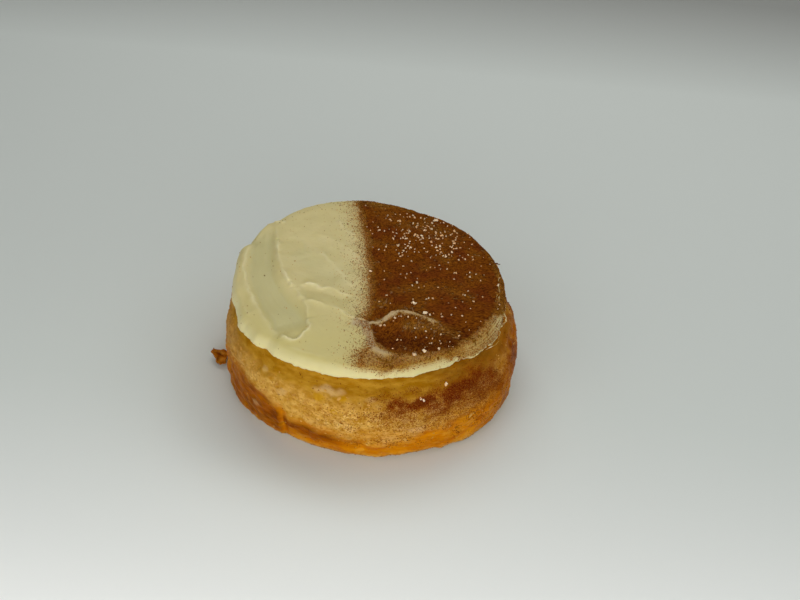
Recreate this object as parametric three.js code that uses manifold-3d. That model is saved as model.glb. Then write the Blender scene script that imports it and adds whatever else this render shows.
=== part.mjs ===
// Cinnamon croissant roll: a laminated dough coil baked in a plain ring, spread with frosting on top
// and dusted with cinnamon over one half. Millimetres, +Z up, flat base on z = 0.
import * as THREE from 'three';
import { mergeVertices, toCreasedNormals } from 'three/addons/utils/BufferGeometryUtils.js';
import Module from 'manifold-3d';

// ---------------------------------------------------------------- driving dimensions

// The baked roll takes the shape of its ring: a low drum that bulges a little at mid height.
const ROLL_RADIUS = 49.7;
const ROLL_TOP = 29.7;
const BASE_RADIUS = 46.8;
const BASE_ROUND = 2.2;
const SHOULDER_FOOT = 24.6;
const TOP_RADIUS = 42.6;

// The dough strip ends in a lap at the front left, where its outer layer stands proud of the next.
const LAP_ANGLE = THREE.MathUtils.degToRad(237);
const LAP_STEP = 1.5;
const LAP_FADE = THREE.MathUtils.degToRad(48);
const LAP_TOP = 22;
const LAP_HALF_WIDTH = THREE.MathUtils.degToRad(0.5);

// A shard of crust splays out along the table at the left foot of the wall.
const FLAKE_ANGLE = THREE.MathUtils.degToRad(188);
const FLAKE_REACH = 54.4;
const FLAKE_BREADTH = 7;
const FLAKE_THICKNESS = 1.8;
const FLAKE_LIFT = 0.4;

// The frosting is a round swipe set a little to the left of the roll's centre.
const FROSTING_CENTRE_X = -2.8;
const FROSTING_RADIUS = 46.4;
const FROSTING_UNDERSIDE = 30.0;
const FROSTING_LIP_HEIGHT = 32.8;
const FROSTING_CROWN = 37.6;
const LIP_SAG = 1.8;
const LIP_SAG_ANGLE = THREE.MathUtils.degToRad(335);
const LIP_SAG_WIDTH = THREE.MathUtils.degToRad(24);

// The cinnamon lies on the frosting's right half, up to a straight stencil edge.
const DUSTING_GAP = 0.3;
const DUSTING_THICKNESS = 0.4;
const DUSTING_RADIUS = 42.5;
const STENCIL_BACK_X = -7;
const STENCIL_FRONT_X = 3;

// Mesh fineness.
const ROLL_SEGMENTS = 96;
const FROSTING_SEGMENTS = 80;
const DUSTING_ROWS = 26;
const DUSTING_COLUMNS = 16;

// ---------------------------------------------------------------- helpers

const wasm = await Module();
wasm.setup();

// The signed turn from one angle to another, between -PI and PI.
function turnBetween(from, to) {
  return Math.atan2(Math.sin(to - from), Math.cos(to - from));
}

// A smooth bump of height 1 around zero that has faded out at about twice its width.
function bump(distance, width) {
  return Math.exp(-((distance / width) ** 2));
}

// Only the positions, with the shared vertices joined.
function bareGeometry(geometry) {
  const bare = geometry.index ? geometry.toNonIndexed() : geometry.clone();
  bare.deleteAttribute('normal');
  bare.deleteAttribute('uv');
  return mergeVertices(bare, 1e-4);
}

// Turns a profile of [radius, height] pairs round +Z and passes every point to a reshaping function.
function turnedSolid(profile, segments, reshape) {
  const points = profile.map(([radius, height]) => new THREE.Vector2(radius, height));
  const turned = new THREE.LatheGeometry(points, segments);
  turned.rotateX(Math.PI / 2);
  const geometry = bareGeometry(turned);
  const position = geometry.getAttribute('position');
  for (let i = 0; i < position.count; i += 1) {
    const radius = Math.hypot(position.getX(i), position.getY(i));
    const angle = Math.atan2(position.getY(i), position.getX(i));
    position.setXYZ(i, ...reshape(radius, angle, position.getZ(i)));
  }
  return geometry;
}

function toManifold(geometry) {
  const vertProperties = new Float32Array(geometry.getAttribute('position').array);
  const triVerts = new Uint32Array(geometry.index.array);
  return new wasm.Manifold(new wasm.Mesh({ numProp: 3, vertProperties, triVerts }));
}

function fromManifold(solid) {
  const mesh = solid.getMesh();
  const geometry = new THREE.BufferGeometry();
  geometry.setAttribute('position', new THREE.BufferAttribute(new Float32Array(mesh.vertProperties), 3));
  geometry.setIndex(new THREE.BufferAttribute(new Uint32Array(mesh.triVerts), 1));
  return geometry;
}

function namedMesh(name, geometry, color, roughness) {
  const material = new THREE.MeshStandardMaterial({ color, roughness, metalness: 0 });
  const creased = toCreasedNormals(geometry, Math.PI / 4);
  const mesh = new THREE.Mesh(creased, material);
  mesh.name = name;
  return mesh;
}

// ---------------------------------------------------------------- pastry roll

// Section of the wall from the middle of the base, round the bottom rim and up over the shoulder.
const WALL_PROFILE = [
  [0, 0],
  [BASE_RADIUS, 0],
  [BASE_RADIUS + 0.75 * BASE_ROUND, 0.35 * BASE_ROUND],
  [BASE_RADIUS + BASE_ROUND + 0.3, 1.2 * BASE_ROUND],
  [ROLL_RADIUS - 0.5, 6.5],
  [ROLL_RADIUS - 0.05, 11],
  [ROLL_RADIUS, 15],
  [ROLL_RADIUS - 0.3, 19],
  [ROLL_RADIUS - 0.9, 22.2],
  [ROLL_RADIUS - 2, SHOULDER_FOOT],
  [ROLL_RADIUS - 3.6, SHOULDER_FOOT + 1.7],
  [ROLL_RADIUS - 5.1, SHOULDER_FOOT + 2.9],
  [TOP_RADIUS + 1.2, ROLL_TOP - 1],
  [TOP_RADIUS, ROLL_TOP],
  [TOP_RADIUS / 2, ROLL_TOP],
  [0, ROLL_TOP],
];

// How far the outer layer stands out: most at the lap, fading out behind it, sunk just in front of it.
function lapHeight(angle) {
  const behind = turnBetween(angle, LAP_ANGLE);
  if (behind > 0) {
    return LAP_STEP * Math.max(0, 1 - behind / LAP_FADE);
  }
  return -0.6 * LAP_STEP * bump(behind, LAP_FADE / 6);
}

// Slow dents and swells of the baked wall, which fade out towards the flat faces.
function wallSwell(angle, height) {
  const round = 0.3 * Math.sin(2 * angle + 0.6) + 0.22 * Math.sin(5 * angle + 1.9);
  const wrinkle = 0.16 * Math.sin(11 * angle + 0.4 * height);
  return (round + wrinkle) * bump(height - 14, 11);
}

function shapeWall(radius, angle, height) {
  const step = (2 * Math.PI) / ROLL_SEGMENTS;
  const fromLap = turnBetween(LAP_ANGLE, angle);
  const turned = Math.abs(fromLap) < step * 0.75 ? LAP_ANGLE + Math.sign(fromLap) * LAP_HALF_WIDTH : angle;
  const onWall = THREE.MathUtils.smoothstep(radius, TOP_RADIUS + 1, ROLL_RADIUS - 2);
  const lapShare = 1 - THREE.MathUtils.smoothstep(height, LAP_TOP / 2, LAP_TOP);
  const reach = radius + onWall * (lapHeight(turned) * lapShare + wallSwell(turned, height));
  return [reach * Math.cos(turned), reach * Math.sin(turned), height];
}

// The shard: a flat ragged outline laid along +X, then turned to its place on the wall.
function crustFlake() {
  const outline = new THREE.Shape();
  outline.moveTo(BASE_RADIUS - 3, -FLAKE_BREADTH / 2);
  outline.lineTo(BASE_RADIUS + 4, -FLAKE_BREADTH / 2);
  outline.lineTo(FLAKE_REACH - 1.6, -FLAKE_BREADTH / 2 + 1.2);
  outline.lineTo(FLAKE_REACH - 1.2, 0.4);
  outline.lineTo(FLAKE_REACH, FLAKE_BREADTH / 2 - 1.4);
  outline.lineTo(FLAKE_REACH - 2.2, FLAKE_BREADTH / 2);
  outline.lineTo(BASE_RADIUS - 3, FLAKE_BREADTH / 2);
  outline.closePath();
  const shard = new THREE.ExtrudeGeometry(outline, { depth: FLAKE_THICKNESS, bevelEnabled: false });
  shard.translate(0, 0, FLAKE_LIFT);
  shard.rotateZ(FLAKE_ANGLE);
  return bareGeometry(shard);
}

function pastryRoll() {
  const drum = turnedSolid(WALL_PROFILE, ROLL_SEGMENTS, shapeWall);
  const baked = toManifold(drum).add(toManifold(crustFlake()));
  return namedMesh('pastry_roll', fromManifold(baked), 0xc98a3a, 0.55);
}

// ---------------------------------------------------------------- frosting cap

// Section of the spread frosting: flat where it lies on the roll, a drooping round lip, a low crown.
const FROSTING_PROFILE = [
  [0, FROSTING_UNDERSIDE],
  [FROSTING_RADIUS - 4, FROSTING_UNDERSIDE],
  [FROSTING_RADIUS - 1.6, FROSTING_LIP_HEIGHT - 2],
  [FROSTING_RADIUS - 0.4, FROSTING_LIP_HEIGHT - 1.2],
  [FROSTING_RADIUS, FROSTING_LIP_HEIGHT],
  [FROSTING_RADIUS - 0.5, FROSTING_LIP_HEIGHT + 1.4],
  [FROSTING_RADIUS - 1.8, FROSTING_LIP_HEIGHT + 2.5],
  [FROSTING_RADIUS - 4.4, FROSTING_LIP_HEIGHT + 3.2],
  [FROSTING_RADIUS - 10, FROSTING_LIP_HEIGHT + 3.8],
  [FROSTING_RADIUS - 18, FROSTING_CROWN - 0.6],
  [FROSTING_RADIUS - 27, FROSTING_CROWN - 0.3],
  [FROSTING_RADIUS - 37, FROSTING_CROWN - 0.1],
  [0, FROSTING_CROWN],
];

// The knife leaves long shallow swaths that curve round the left side.
function knifeRelief(x, y) {
  const fromPivot = Math.hypot(x - 30, y + 6);
  const swath = 0.35 * Math.sin(fromPivot / 4.2) * bump(x + 24, 20);
  const scoop = -0.5 * bump(x - 12, 10) * bump(y + 20, 7);
  return swath + scoop;
}

// How far the upper surface of the frosting departs from its turned section.
function frostingTopLift(x, y) {
  const inside = 1 - THREE.MathUtils.smoothstep(Math.hypot(x, y), FROSTING_RADIUS - 9, FROSTING_RADIUS - 3);
  const backLift = 0.7 * bump(y - 40, 18);
  return knifeRelief(x, y) * inside + backLift;
}

// The edge runs in and out where each stroke of the knife ended, and it falls short on the left.
function rimWander(angle) {
  const shortLeft = -1.2 * bump(turnBetween(Math.PI, angle), 0.5);
  return shortLeft + 0.3 * Math.sin(3 * angle + 0.9) + 0.2 * Math.sin(8 * angle) + 0.15 * Math.sin(19 * angle + 2);
}

function shapeFrosting(radius, angle, height) {
  const onLip = THREE.MathUtils.smoothstep(radius, FROSTING_RADIUS - 4, FROSTING_RADIUS - 0.4);
  const reach = radius + rimWander(angle) * onLip;
  const x = reach * Math.cos(angle);
  const y = reach * Math.sin(angle);
  const hanging = THREE.MathUtils.smoothstep(radius, FROSTING_RADIUS - 1.8, FROSTING_RADIUS - 0.2);
  const sag = LIP_SAG * hanging * bump(turnBetween(LIP_SAG_ANGLE, angle), LIP_SAG_WIDTH);
  const upper = THREE.MathUtils.smoothstep(height, FROSTING_LIP_HEIGHT - 1, FROSTING_LIP_HEIGHT + 2);
  return [x + FROSTING_CENTRE_X, y, height - sag + upper * frostingTopLift(x, y)];
}

function frostingCap() {
  const spread = turnedSolid(FROSTING_PROFILE, FROSTING_SEGMENTS, shapeFrosting);
  return namedMesh('frosting_cap', spread, 0xd2cd9c, 0.5);
}

// ---------------------------------------------------------------- cinnamon dusting

// Height of the frosting's turned section at a radius on its upper side.
function crownHeight(radius) {
  const upper = FROSTING_PROFILE.slice(5);
  for (let i = 1; i < upper.length; i += 1) {
    const [outerRadius, outerHeight] = upper[i - 1];
    const [innerRadius, innerHeight] = upper[i];
    if (radius >= innerRadius) {
      const share = (radius - innerRadius) / (outerRadius - innerRadius);
      return THREE.MathUtils.lerp(innerHeight, outerHeight, share);
    }
  }
  return FROSTING_CROWN;
}

// A plane sheet over the dusted area: u runs from the stencil edge to the rim, v from front to back.
function dustedPoint(u, v) {
  const y = THREE.MathUtils.lerp(-DUSTING_RADIUS + 1.5, DUSTING_RADIUS - 1.5, v);
  const rimX = Math.sqrt(DUSTING_RADIUS ** 2 - y ** 2);
  const stencilX = THREE.MathUtils.lerp(STENCIL_FRONT_X, STENCIL_BACK_X, v) - FROSTING_CENTRE_X;
  return [THREE.MathUtils.lerp(stencilX, rimX, u), y];
}

// The powder is a thin closed slab: a box whose grid is stretched over the dusted area.
function cinnamonDusting() {
  const slab = new THREE.BoxGeometry(1, 1, 1, DUSTING_COLUMNS, DUSTING_ROWS, 1);
  const geometry = bareGeometry(slab);
  const position = geometry.getAttribute('position');
  for (let i = 0; i < position.count; i += 1) {
    const [x, y] = dustedPoint(position.getX(i) + 0.5, position.getY(i) + 0.5);
    const underside = crownHeight(Math.hypot(x, y)) + frostingTopLift(x, y) + DUSTING_GAP;
    const height = underside + (position.getZ(i) + 0.5) * DUSTING_THICKNESS;
    position.setXYZ(i, x + FROSTING_CENTRE_X, y, height);
  }
  return namedMesh('cinnamon_dusting', geometry, 0x6b3a1a, 0.95);
}

// ---------------------------------------------------------------- the finished roll

const roll = new THREE.Group();
roll.add(pastryRoll());
roll.add(frostingCap());
roll.add(cinnamonDusting());

// The origin is the middle of the whole roll's footprint, flake included, on the surface it rests on.
const footprint = new THREE.Box3().setFromObject(roll).getCenter(new THREE.Vector3());
roll.position.set(-footprint.x, -footprint.y, 0);

export default roll;
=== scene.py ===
import math

import bpy
import numpy as np
from mathutils import Matrix, Vector


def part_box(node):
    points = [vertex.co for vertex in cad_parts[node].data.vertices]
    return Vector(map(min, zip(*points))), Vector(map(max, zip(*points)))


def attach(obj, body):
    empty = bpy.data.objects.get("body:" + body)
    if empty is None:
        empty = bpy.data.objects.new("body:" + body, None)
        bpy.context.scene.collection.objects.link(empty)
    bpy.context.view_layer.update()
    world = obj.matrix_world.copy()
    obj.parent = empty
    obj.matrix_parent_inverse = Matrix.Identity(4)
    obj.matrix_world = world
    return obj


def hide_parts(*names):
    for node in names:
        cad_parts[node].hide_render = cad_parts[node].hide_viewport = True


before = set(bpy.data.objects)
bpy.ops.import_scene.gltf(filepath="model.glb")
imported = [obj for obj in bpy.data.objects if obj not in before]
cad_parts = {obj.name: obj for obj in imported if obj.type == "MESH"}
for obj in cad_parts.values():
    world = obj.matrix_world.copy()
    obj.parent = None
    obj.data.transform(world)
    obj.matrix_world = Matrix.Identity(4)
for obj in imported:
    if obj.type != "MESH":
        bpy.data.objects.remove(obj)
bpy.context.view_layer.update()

# ================================================================ the baked roll
# One piece of laminated dough: a strip rolled into a coil and baked in a plain ring, so its side is an
# upright drum with flaky layers. The strip's outer end laps over the wall at the front left.

MM = 0.001
ring_radius = 50.0
roll_low, roll_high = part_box("pastry_roll")
wall_x = roll_high.x / MM - ring_radius
wall_y = (roll_low.y + roll_high.y) / 2 / MM
roll_height = roll_high.z / MM

wall_sides = 160
foot_radius = 46.9


def smooth(start, end, x):
    """0 before start, 1 after end, and an even curve between."""
    t = np.clip((x - start) / (end - start), 0.0, 1.0)
    return t * t * (3.0 - 2.0 * t)


def hump(x, width):
    return np.exp(-((x / width) ** 2))


def turn(a, b):
    """The signed turn from angle b to angle a."""
    return np.arctan2(np.sin(a - b), np.cos(a - b))


def grain(u, v, seed, around=256):
    """Soft random hills and hollows from -1 to 1, one cell apart; u repeats after that many cells."""
    lattice = np.random.default_rng(seed).uniform(-1.0, 1.0, (around, 256))
    iu, iv = np.floor(u).astype(int), np.floor(v).astype(int)
    fu, fv = smooth(0.0, 1.0, u - iu), smooth(0.0, 1.0, v - iv)
    near, far = lattice[iu % around, iv % 256], lattice[(iu + 1) % around, iv % 256]
    near_up, far_up = lattice[iu % around, (iv + 1) % 256], lattice[(iu + 1) % around, (iv + 1) % 256]
    low = near + (far - near) * fu
    high = near_up + (far_up - near_up) * fu
    return low + (high - low) * fv


def around_wall(a, cells, v, seed):
    """The same hills wrapped round the wall, with a whole number of cells in the turn."""
    return grain((a / (2 * math.pi)) % 1.0 * cells, v, seed, cells)


def normals_of(piece, what="normal"):
    values = np.empty(len(piece.data.vertices) * 3)
    piece.data.vertices.foreach_get(what, values)
    return values.reshape(-1, 3)


def points_of(piece):
    """The places of a piece's points, in mm."""
    return normals_of(piece, "co") / MM


def move_points(piece, co):
    piece.data.vertices.foreach_set("co", (co * MM).ravel())
    piece.data.update()


def mark(piece, name, values):
    """Keeps a value from 0 to 1 at each point, for the piece's material to read."""
    attribute = piece.data.attributes.new(name, "FLOAT", "POINT")
    attribute.data.foreach_set("value", np.clip(values, 0.0, 1.0).astype(np.float32))


def apply_all(piece):
    bpy.context.view_layer.objects.active = piece
    for modifier in list(piece.modifiers):
        bpy.ops.object.modifier_apply(modifier=modifier.name)


def start_piece(name, operator, **settings):
    """Adds a primitive with nothing else selected, and names it."""
    bpy.ops.object.select_all(action="DESELECT")
    operator(**settings)
    bpy.context.object.name = name
    return bpy.context.object


def next_ring(radius, height, last, middle):
    """Extrudes the selected loop to a new radius and height about the middle of its piece."""
    bpy.ops.mesh.extrude_region_move(
        TRANSFORM_OT_translate={"value": (0, 0, (height - last[1]) * MM)})
    scale = radius / last[0]
    bpy.ops.transform.resize(value=(scale, scale, 1), center_override=middle)
    return radius, height


def close_ring(radius, height, middle):
    """Draws the loop at this radius and height together into one point."""
    bpy.ops.mesh.select_all(action="DESELECT")
    bpy.ops.object.mode_set(mode="OBJECT")
    co = points_of(bpy.context.object)
    distance = np.hypot(co[:, 0], co[:, 1])
    on_ring = (abs(distance - radius) < 0.05) & (abs(co[:, 2] - height) < 0.05)
    bpy.context.object.data.vertices.foreach_set("select", on_ring)
    bpy.ops.object.mode_set(mode="EDIT")
    bpy.ops.mesh.merge(type="CENTER")


# Radius and height of each ring, from the middle of the base out, up the wall and in over the top.
base_rings = [(r, 0.0) for r in (3, 10, 18, 26, 34, 41)]
foot_rings = [(foot_radius - 0.6, 0.0), (foot_radius + 0.9, 0.5), (foot_radius + 1.9, 1.9)]
wall_heights = [3.3, 4.7, 6.1, 7.5, 8.9, 10.3, 11.7, 13.1, 14.5, 15.9, 17.3, 18.7, 20.1, 21.5]
wall_rings = [(49.6 - 0.7 * ((h - 15) / 11) ** 2, h) for h in wall_heights]
shoulder_rings = [(48.3, 22.9), (47.6, 24.3), (46.6, 25.6), (45.6, 26.6), (44.7, 27.6), (43.8, 28.6)]
top_rings = [(42.6, roll_height - 0.1), (40, roll_height), (22, roll_height), (5, roll_height)]

roll_middle = (wall_x * MM, wall_y * MM, 0)
roll = start_piece("laminated_roll", bpy.ops.mesh.primitive_circle_add, vertices=wall_sides,
                   radius=base_rings[0][0] * MM, location=roll_middle)
bpy.ops.object.mode_set(mode="EDIT")
ring = base_rings[0]
for radius, height in base_rings[1:] + foot_rings + wall_rings + shoulder_rings + top_rings:
    ring = next_ring(radius, height, ring, roll_middle)
close_ring(*base_rings[0], roll_middle)
close_ring(*top_rings[-1], roll_middle)
bpy.ops.mesh.select_all(action="SELECT")
bpy.ops.mesh.normals_make_consistent(inside=False)
bpy.ops.object.mode_set(mode="OBJECT")
bpy.ops.object.transform_apply(location=True)
rounding = roll.modifiers.new("rounding", "SUBSURF")
rounding.levels = rounding.render_levels = 2
apply_all(roll)


def round_the_roll():
    """The roll's points, and each one's angle, angle in degrees, height and distance from the axis."""
    co = points_of(roll)
    x, y = co[:, 0] - wall_x, co[:, 1] - wall_y
    a = np.arctan2(y, x)
    return co, a, np.degrees(a) % 360, co[:, 2], np.hypot(x, y)


# The wall is worked from here: lap, swells, torn flakes and the edges of the layers.
co, a, degrees, z, out = round_the_roll()
normal = normals_of(roll)
on_wall = smooth(41.5, 44.0, out) * smooth(0.0, 1.2, z)

# The rounding can number the points differently each time, so they get an order of their own: column by
# column round the wall, and up each column. What is sprinkled on the wall follows it.
columns = 4 * wall_sides
roll_order = np.lexsort((z, np.round(degrees * columns / 360) % columns))

# The strip's end: a browned flap that thickens toward its upright lip, with a crumbled upper edge.
wobble = around_wall(a, 70, z / 1.6, 17)
flap_angles = [150, 204, 225, 232, 235, 237.4, 240]
flap_top = np.interp(degrees, flap_angles, [17, 17.1, 17.3, 16.7, 15.3, 13.9, 12.0])
flap_end = np.interp(z, [0, 3.7, 10.3, 13.7, 17.0], [239.0, 238.8, 238.5, 237.3, 233.5])
inside_flap = smooth(0.32, -0.32, degrees - flap_end - 0.25 * wobble)
below_edge = smooth(0.5, -0.6, z - flap_top - 0.5 * wobble)
flap = inside_flap * below_edge * smooth(188, 236, degrees)
lip = hump(degrees - flap_end + 0.4, 0.5) * below_edge
tucked = hump(degrees - flap_end - 1.4, 1.3) * smooth(15, 12, z)

swell = 0.3 * np.sin(2 * a + 0.6) + 0.22 * np.sin(5 * a + 1.9)
lumps = 0.26 * around_wall(a, 22, z / 9, 1) + 0.22 * around_wall(a, 61, z / 4.5, 2)
left_wrinkled = smooth(168, 182, degrees) * smooth(230, 205, degrees)
shoulder = smooth(23.0, 25.5, z)
drift = around_wall(a, 34, z / 7, 3)
torn = 0.6 * around_wall(a, 64, z / 2.6 + 0.7 * drift, 4) + 0.4 * around_wall(a, 150, z / 1.3, 5)
levels = 3.4 * torn
flakes = (np.floor(levels) + smooth(0.6, 1.0, levels - np.floor(levels)) + 0.3) / 3.4
layer_edges = around_wall(a, 18, z / 0.75 + 1.2 * drift, 6)
pleats = around_wall(a, 26, z / 1.0 + 1.6 * drift, 7)
fine = around_wall(a, 250, z / 1.1, 8)

d = swell + lumps + 0.8 * flap * (0.4 + 0.6 * smooth(0.5, 6, z))
d = d - 0.4 * tucked + 0.35 * smooth(150, 236, degrees) * inside_flap
d += flakes * (0.4 * (1 - shoulder) + 0.1)
d += layer_edges * (0.03 + 0.1 * shoulder)
d += pleats * 0.2 * left_wrinkled * (1 - shoulder)
d += fine * (0.16 - 0.08 * shoulder)
d -= 1.0 * hump(turn(a, math.radians(187)), 0.28)
d -= (0.5 + 1.3 * smooth(15, 25, z)) * hump(turn(a, math.radians(12)), 0.62)
d += 2.2 * hump(turn(a, math.radians(325)), 0.4) * smooth(24, 11, z)
co += normal * (d * on_wall)[:, None]

# The foot is crisp and uneven; under the base the coil's turns show as one shallow spiral groove.
foot = smooth(45.0, 48.0, out) * (1 - smooth(0.4, 3.0, z))
jags = hump(degrees - 203, 5) * np.clip(around_wall(a, 150, z * 0, 16), 0, 1)
ragged = 0.3 * around_wall(a, 90, z / 1.5, 9) + 0.3 * around_wall(a, 37, z, 10) + 1.6 * jags
co[:, :2] += normal[:, :2] * (foot * ragged)[:, None]
under = (z < 0.05) & (out < foot_radius)
coil_pitch = 9.2
coil_phase = (out / coil_pitch - a / (2 * math.pi)) % 1.0
coil_seam = hump(np.minimum(coil_phase, 1 - coil_phase) * coil_pitch, 1.1)
blister = np.clip(grain(co[:, 0] / 5, co[:, 1] / 5, 11), 0, 1)
rise = (0.55 * coil_seam + 0.3 * blister) * (1 - smooth(41, 45, out))
co[:, 2] = np.where(under, rise, np.maximum(co[:, 2], 0.0))
move_points(roll, co)

# How brown each place baked: the foot most, the back and right wall higher up, the base all over.
brown_angles = [0, 30, 90, 140, 180, 205, 232, 237, 240, 247, 265, 291, 303, 318, 332, 345, 360]
brown_heights = [25, 20, 16, 15, 14, 16.8, 16.6, 14, 12.6, 11, 8.8, 9.3, 12.5, 14.5, 19, 24, 25]
brown_line = np.interp(degrees, brown_angles, brown_heights)
brown_edge = z - brown_line + 1.2 * around_wall(a, 50, z / 2.5, 12) + 0.8 * torn
brown = np.where(z < brown_line - 6, 1.0, smooth(1.8, -2.6, brown_edge))
brown = np.maximum(brown, 0.32 * smooth(7, 0, brown_edge) * smooth(245, 262, degrees))
patches = 0.5 + 0.5 * around_wall(a, 24, z / 5, 13)
on_flap = smooth(195, 212, degrees) * inside_flap
right_of_lap = smooth(0.2, 1.2, degrees - flap_end) * smooth(276, 252, degrees)
far_right = smooth(318, 346, degrees) + smooth(80, 40, degrees)
fibres = around_wall(a + z / 75, 170, z / 7, 21)
mottled = around_wall(a + z / 90, 110, z / 3, 22)
# Just right of the flap's end a band at mid height is made darker brown.
deep = on_flap * (0.58 + 0.38 * patches + 0.15 * fibres) + right_of_lap * 0.95 * hump(z - 7.6, 3.0)
# In the tuck just right of the flap's edge the brown is painted deeper, painted shade in that crease.
deep = brown * np.clip(deep + far_right * (0.46 + 0.4 * patches + 0.4 * mottled) + 0.25 * tucked, 0, 1)
deep = np.maximum(deep, 0.55 * smooth(285, 318, degrees) * smooth(20, 25, z))
foot_line = smooth(3.2, 0.6, z + 0.6 * around_wall(a, 120, z, 18)) * (z < 4)
mark(roll, "browned", brown * (1 - 0.75 * foot_line))
# Along the flap's upright lip the deep brown is lessened, a painted highlight on that edge.
mark(roll, "deep", np.where(under, 0.45 + 0.5 * coil_seam, deep * (1 - foot_line) * (1 - 0.3 * lip)))
mark(roll, "shoulder", smooth(21.5, 25.5, z + 0.7 * torn + 0.5 * lumps))
floury = 0.55 + 0.45 * smooth(240, 262, degrees) * smooth(23, 19, z)
mark(roll, "flake", floury * (0.5 + 0.9 * torn))
mark(roll, "floury", floury * smooth(26, 22, z))
mark(roll, "wrinkled", left_wrinkled * (1 - shoulder))


def spots(places):
    """A few soft spots on the wall, each an angle, a height and its half width and half height in mm."""
    shade = np.zeros(len(z))
    for spot_angle, spot_height, half_width, half_height in places:
        sideways = turn(a, math.radians(spot_angle)) * ring_radius / half_width
        away = np.hypot(sideways, (z - spot_height) / half_height)
        away = away + 0.45 * around_wall(a, 110, z / 1.6, 20) + 0.15 * around_wall(a, 250, z / 0.7, 77)
        shade = np.maximum(shade, smooth(1.5, 0.5, away))
    return shade


pale_spot = (256, 25.1, 4.6, 0.9)
faint_spots = [(290.9, 12.6, 2.6, 1.1), (273.5, 24.4, 1.8, 0.8), (238, 19.5, 1.6, 1.2),
               (229, 24.2, 1.1, 0.7), (226.5, 9.5, 1.4, 0.9)]
butter_spots = [(253.6, 22.6, 1.8, 1.0), (259.9, 19.0, 1.6, 1.0), (262.5, 23.6, 1.6, 0.7)]
mark(roll, "blanched", spots([pale_spot]) + 0.6 * spots(faint_spots))
mark(roll, "buttery", spots(butter_spots))

# Cinnamon that missed the frosting lies along the shoulder at the front right and down the wall.
streak_angles = [272, 278, 281, 285, 289, 294, 299, 304, 309, 313, 318, 323]
streak_heights = [24.9, 25.0, 23.4, 22.6, 21.9, 22.7, 23.0, 23.4, 23.4, 24.7, 25.5, 26.0]
streak_widths = [1.0, 1.5, 2.1, 2.0, 1.3, 1.5, 1.9, 2.1, 1.9, 1.6, 1.4, 1.1]
streak_amounts = [0.4, 0.8, 0.92, 0.82, 0.65, 0.7, 0.8, 0.95, 0.95, 1.0, 0.95, 0.7]


def cinnamon_on_wall(degrees, z, a):
    """How much cinnamon clings at a place on the wall, from 0 to 1."""
    wander = 1.3 * around_wall(a, 46, z / 3, 14) + 0.6 * around_wall(a, 120, z / 1.2, 75)
    line = np.interp(degrees, streak_angles, streak_heights)
    width = np.interp(degrees, streak_angles, streak_widths)
    along = np.interp(degrees, streak_angles, streak_amounts)
    along = along * smooth(268, 273, degrees) * smooth(328, 321, degrees)
    gaps = 1.0 * around_wall(a, 80, z / 2.0, 19) + 0.5 * around_wall(a, 190, z / 0.9, 78)
    haze = 0.4 * hump((z - line + 1.1 * wander) / width, 2.4)
    heart = 0.62 * hump((z - line + 0.9 * wander) / width, 1.1) * np.clip(0.68 + gaps, 0, 1.3)
    streak = along * (haze + heart)
    fork = 0.45 * hump(degrees - 290, 5) * hump(z - 26.1 + 0.5 * wander, 0.9)
    blotch = 0.45 * hump(degrees - 302.7, 3.0) * hump(z - 17.8 + 0.6 * wander, 1.5)
    clouds = 0.9 * around_wall(a, 52, z / 3.2, 15) + 0.4 * around_wall(a, 110, z / 1.5, 76)
    clouds = np.clip(0.35 + clouds, 0, 1)
    below = smooth(262, 290, degrees) * smooth(345, 325, degrees) * smooth(9, 18, z) * smooth(25.5, 22.5, z)
    right = (smooth(318, 340, degrees) + smooth(50, 15, degrees) * (degrees < 60)) * smooth(7, 17, z)
    thin = below * (0.28 + 0.4 * clouds) + right * (0.08 + 0.09 * clouds)
    return np.clip(streak + fork + blotch + thin, 0, 1)


mark(roll, "powdered", cinnamon_on_wall(degrees, z, a) * smooth(29.3, 28.0, z))
bpy.ops.object.shade_smooth()


def paint_box(material_name):
    """A new material with its nodes, its links and its shader."""
    material = bpy.data.materials.new(material_name)
    material.use_nodes = True
    tree = material.node_tree
    return material, tree, tree.nodes["Principled BSDF"]


def colour_of(red, green, blue):
    """The shader's linear colour for a colour on the usual 0 to 255 scale."""
    def straight(c):
        c /= 255.0
        return c / 12.92 if c <= 0.04045 else ((c + 0.055) / 1.055) ** 2.4
    return straight(red), straight(green), straight(blue), 1.0


def blend_colours(tree, share, first, second):
    """Mixes two colours, each red, green and blue or another node's socket, by a share socket."""
    node = tree.nodes.new("ShaderNodeMix")
    node.data_type = "RGBA"
    tree.links.new(share, node.inputs["Factor"])
    for name, value in (("A", first), ("B", second)):
        socket = [s for s in node.inputs if s.name == name and s.type == "RGBA"][0]
        if isinstance(value, tuple):
            socket.default_value = colour_of(*value)
        else:
            tree.links.new(value, socket)
    return [s for s in node.outputs if s.type == "RGBA"][0]


def stored(tree, name):
    node = tree.nodes.new("ShaderNodeAttribute")
    node.attribute_name = name
    return node.outputs["Fac"]


def between(tree, value, low, high):
    """A share that grows from 0 to 1 as a value goes from low to high."""
    node = tree.nodes.new("ShaderNodeMapRange")
    node.inputs["From Min"].default_value = low
    node.inputs["From Max"].default_value = high
    tree.links.new(value, node.inputs["Value"])
    return node.outputs["Result"]


def stretched(tree, vector, stretch):
    node = tree.nodes.new("ShaderNodeMapping")
    node.inputs["Scale"].default_value = stretch
    tree.links.new(vector, node.inputs["Vector"])
    return node.outputs["Vector"]


def place_on(tree):
    return tree.nodes.new("ShaderNodeTexCoord").outputs["Object"]


def speckle(tree, size, stretch=(1, 1, 1), low=0.4, high=0.6):
    """A noise of this grain size in mm, stretched along an axis, as a share between two limits."""
    noise = tree.nodes.new("ShaderNodeTexNoise")
    noise.inputs["Scale"].default_value = 1 / (size * MM)
    noise.inputs["Detail"].default_value = 3.0
    tree.links.new(stretched(tree, place_on(tree), stretch), noise.inputs["Vector"])
    return between(tree, noise.outputs["Fac"], low, high)


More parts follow.
